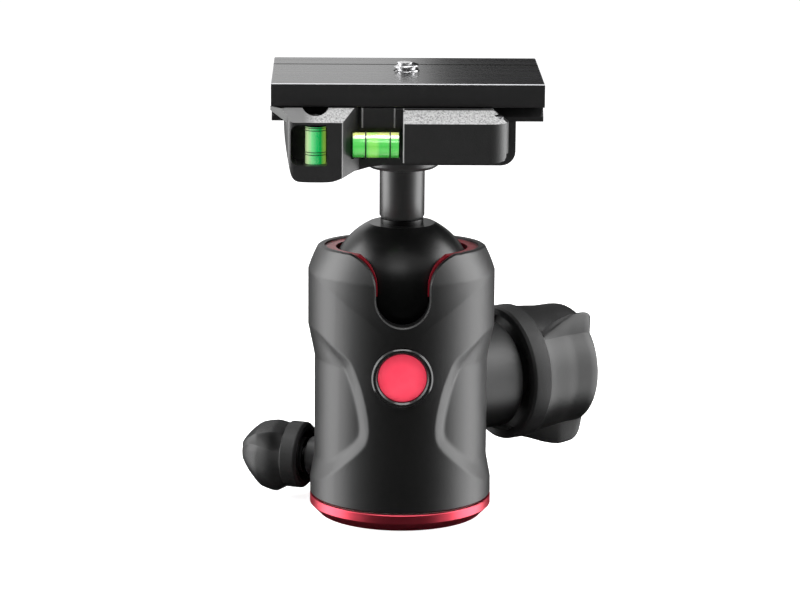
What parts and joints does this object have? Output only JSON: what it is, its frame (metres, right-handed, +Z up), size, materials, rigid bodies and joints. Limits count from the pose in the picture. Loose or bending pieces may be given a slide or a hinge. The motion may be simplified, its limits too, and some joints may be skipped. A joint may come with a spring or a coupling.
{
  "type": "tripod ball head",
  "caption": "Compact tripod ball head: panning base, drop notch, lock and pan knobs, lever clamp with spirit levels and a quick-release plate.",
  "frame": {"origin": "mouth of the tripod thread, at the centre of the base's underside", "axes": "+Z up along the pan axis, -Y towards the drop notch, -X towards the pan knob"},
  "size_m": [0.0942, 0.0712, 0.1191],
  "materials": {
    "red_anodised": "satin red anodised, fine turning lines",
    "black_powder": "fine-textured black powder coat",
    "black_anodised": "satin black anodised",
    "ball_black": "polished black anodised",
    "bare_aluminium": "machined",
    "steel": "machined",
    "dark_steel": "blackened, satin",
    "brass": "machined",
    "knob_plastic": "fine-textured moulding",
    "pale_polymer": "smooth acetal",
    "red_polymer": "smooth low-friction polymer",
    "badge_red": "glossy domed resin, bare",
    "level_acrylic": "clear acrylic",
    "level_spirit": "green spirit"
  },
  "bodies": {
    "base": {"base_ring": "red_anodised", "base_plate": "black_anodised", "thread_bushing": "steel", "base_screws": "dark_steel", "pan_spindle": "bare_aluminium", "pan_washer": "pale_polymer", "nut_washer": "pale_polymer", "spindle_nut": "steel"},
    "housing": {"housing": "black_powder", "ball_liner": "red_polymer", "badge_bezel": "black_anodised", "badge_disc": "badge_red", "lock_bush": "brass", "pan_bush": "steel"},
    "pan_brake": {"pan_brake_pad": "brass"},
    "pan_knob": {"pan_knob": "knob_plastic", "pan_stud": "steel"},
    "lock_plunger": {"lock_plunger": "steel"},
    "lock_knob": {"lock_knob": "knob_plastic", "lock_knob_insert": "brass", "lock_knob_cap": "knob_plastic", "lock_stud": "steel"},
    "ball_cup": {"ball_cup": "bare_aluminium"},
    "ball_seat": {"ball_seat": "pale_polymer"},
    "ball": {"ball": "ball_black"},
    "head": {"stem": "black_anodised", "clamp_bolt": "dark_steel", "index_pin": "steel", "clamp_body": "black_powder", "vertical_level": "level_acrylic", "vertical_spirit": "level_spirit", "vertical_plug": "knob_plastic", "horizontal_level": "level_acrylic", "horizontal_spirit": "level_spirit", "lever_pin": "dark_steel", "lever_spring": "steel", "jaw_springs": "steel"},
    "jaw": {"movable_jaw": "black_anodised", "jaw_guide_pins": "steel"},
    "lever": {"lever": "black_powder"},
    "plate": {"quick_release_plate": "black_anodised", "screw_clip": "steel"},
    "camera_screw": {"camera_screw": "dark_steel"}
  },
  "joints": [
    {"name": "pan", "type": "hinge", "parent": "base", "child": "housing", "pos_m": [0, 0, 0.005], "axis": [0, 0, 1], "continuous": true},
    {"name": "pan_knob_turn", "type": "hinge", "parent": "housing", "child": "pan_knob", "pos_m": [-0.02801, 0.01075, 0.0119], "axis": [-0.9336, 0.3584, 0], "range_deg": [0, 360]},
    {"name": "pan_brake_slide", "type": "slide", "parent": "housing", "child": "pan_brake", "axis": [-0.9336, 0.3584, 0], "range_m": [0, 0.001]},
    {"name": "lock_knob_turn", "type": "hinge", "parent": "housing", "child": "lock_knob", "pos_m": [0.02952, 0.01881, 0.0327], "axis": [0.8434, 0.5373, 0], "range_deg": [0, 540]},
    {"name": "lock_plunger_slide", "type": "slide", "parent": "housing", "child": "lock_plunger", "axis": [0.8434, 0.5373, 0], "range_m": [0, 0.00187]},
    {"name": "ball_cup_slide", "type": "slide", "parent": "housing", "child": "ball_cup", "axis": [0, 0, -1], "range_m": [0, 0.000332]},
    {"name": "side_tilt", "type": "hinge", "parent": "housing", "child": "ball_seat", "pos_m": [0, 0, 0.0595], "axis": [0, 1, 0], "range_deg": [-30, 30]},
    {"name": "front_tilt", "type": "hinge", "parent": "ball_seat", "child": "ball", "pos_m": [0, 0, 0.0595], "axis": [1, 0, 0], "range_deg": [-30, 90]},
    {"name": "swivel", "type": "hinge", "parent": "ball", "child": "head", "pos_m": [0, 0, 0.0595], "axis": [0, 0, 1], "continuous": true},
    {"name": "lever_turn", "type": "hinge", "parent": "head", "child": "lever", "pos_m": [0.0232, -0.0231, 0.1], "axis": [0, 0, 1], "range_deg": [0, 95]},
    {"name": "jaw_slide", "type": "slide", "parent": "head", "child": "jaw", "axis": [0, -1, 0], "range_m": [0, 0.0015]},
    {"name": "plate_slide", "type": "slide", "parent": "head", "child": "plate", "axis": [1, 0, 0], "range_m": [-0.002, 0.064]},
    {"name": "camera_screw_turn", "type": "hinge", "parent": "plate", "child": "camera_screw", "pos_m": [0.0009, 0, 0.112], "axis": [0, 0, 1], "continuous": true}
  ],
  "couplings": [
    {"joint": "pan_knob_turn", "follows": "pan_brake_slide", "rad_per_m": 6283.2},
    {"joint": "lock_knob_turn", "follows": "lock_plunger_slide", "rad_per_m": 5026.5},
    {"joint": "ball_cup_slide", "follows": "lock_plunger_slide", "ratio": 0.17633},
    {"joint": "lever_turn", "follows": "jaw_slide", "rad_per_m": 1105.4}
  ]
}
